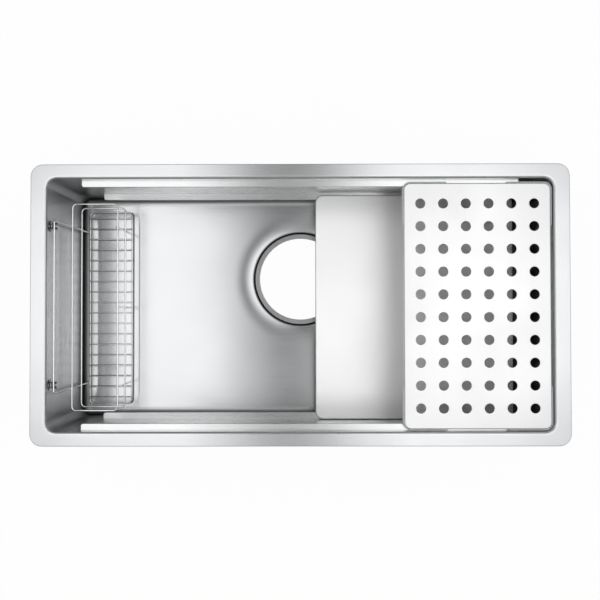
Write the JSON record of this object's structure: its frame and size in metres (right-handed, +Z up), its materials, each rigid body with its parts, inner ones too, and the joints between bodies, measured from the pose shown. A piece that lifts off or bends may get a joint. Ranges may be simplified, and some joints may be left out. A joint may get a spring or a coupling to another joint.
{
  "type": "kitchen sink",
  "caption": "Inset steel kitchen sink with upper and lower ledges that carry a sliding perforated drain board and a sliding tray, and a lift-out wire basket.",
  "frame": {"origin": "centre of the bowl's opening, in the plane where the rim's underside rests on a worktop", "axes": "+X right along the rim, +Y towards the wall side, +Z up out of the bowl"},
  "size_m": [0.88, 0.46, 0.2265],
  "materials": {
    "rim_steel": "satin brushed stainless steel",
    "bowl_steel": "satin brushed stainless steel",
    "ledge_steel": "satin brushed stainless steel",
    "board_steel": "fine satin stainless steel",
    "tray_steel": "fine satin stainless steel",
    "pad_rubber": "matt bitumen rubber pad",
    "guard_silicone": "translucent silicone",
    "wire_steel": "polished stainless wire",
    "cup_rubber": "clear soft plastic",
    "clip_plastic": "black moulded plastic",
    "nut_metal": "bright plated nut"
  },
  "bodies": {
    "sink": {"rim_frame": "rim_steel", "bowl_walls": "bowl_steel", "bowl_floor": "bowl_steel", "upper_ledge_rear": "ledge_steel", "upper_ledge_front": "ledge_steel", "lower_ledge_rear": "ledge_steel", "lower_ledge_front": "ledge_steel", "sound_pad_rear": "pad_rubber", "sound_pad_front": "pad_rubber", "sound_pad_left": "pad_rubber", "sound_pad_right": "pad_rubber", "sound_pad_floor_left": "pad_rubber", "sound_pad_floor_right": "pad_rubber"},
    "board": {"drain_board": "board_steel", "board_guard_rear_left": "guard_silicone", "board_guard_rear_right": "guard_silicone", "board_guard_front_left": "guard_silicone", "board_guard_front_right": "guard_silicone"},
    "tray": {"lower_tray": "tray_steel"},
    "basket": {"basket_top_ring": "wire_steel", "basket_middle_ring": "wire_steel", "basket_bottom_ring": "wire_steel", "basket_floor_wires": "wire_steel", "basket_upright_rear": "wire_steel", "basket_upright_centre": "wire_steel", "basket_upright_front": "wire_steel", "basket_hanger": "wire_steel", "suction_cup_rear": "cup_rubber", "suction_cup_front": "cup_rubber", "cup_clip_rear": "clip_plastic", "cup_clip_front": "clip_plastic", "cup_nut_rear": "nut_metal", "cup_nut_front": "nut_metal"}
  },
  "joints": [
    {"name": "board_slide", "type": "slide", "parent": "sink", "child": "board", "axis": [1, 0, 0], "range_m": [-0.484, 0]},
    {"name": "tray_slide", "type": "slide", "parent": "sink", "child": "tray", "axis": [1, 0, 0], "range_m": [-0.3445, 0.0255]},
    {"name": "basket_lift", "type": "slide", "parent": "sink", "child": "basket", "axis": [0, 0, 1], "range_m": [0, 0.23]}
  ]
}
